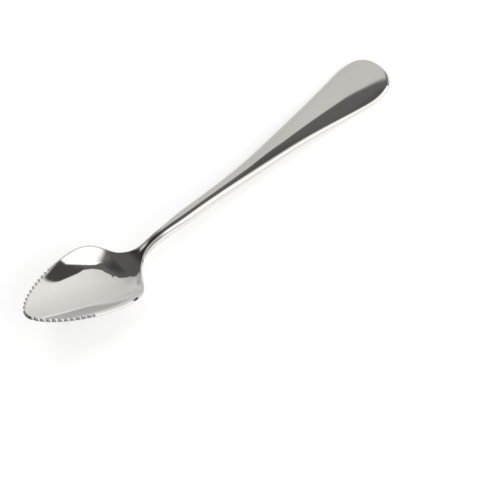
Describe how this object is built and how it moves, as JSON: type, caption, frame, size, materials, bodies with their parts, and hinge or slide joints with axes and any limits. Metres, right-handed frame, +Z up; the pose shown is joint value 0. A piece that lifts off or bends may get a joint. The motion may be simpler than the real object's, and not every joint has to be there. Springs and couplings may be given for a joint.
{
  "type": "grapefruit spoon",
  "caption": "Polished stainless steel grapefruit spoon with a pointed bowl, serrated flanks, a slim neck and a flat handle that flares to a rounded end.",
  "frame": {"origin": "on the table the spoon lies on, under the middle of its length and width", "axes": "+X from the bowl's tip to the handle's end, +Y across, +Z up out of the bowl"},
  "size_m": [0.165, 0.0304, 0.0215],
  "materials": {
    "polished_steel": "polished",
    "ground_edge": "polished"
  },
  "bodies": {
    "root": {"bowl": "polished_steel", "left_serrated_edge": "ground_edge", "right_serrated_edge": "ground_edge", "neck": "polished_steel", "stem": "polished_steel", "handle_end": "polished_steel"}
  },
  "joints": []
}
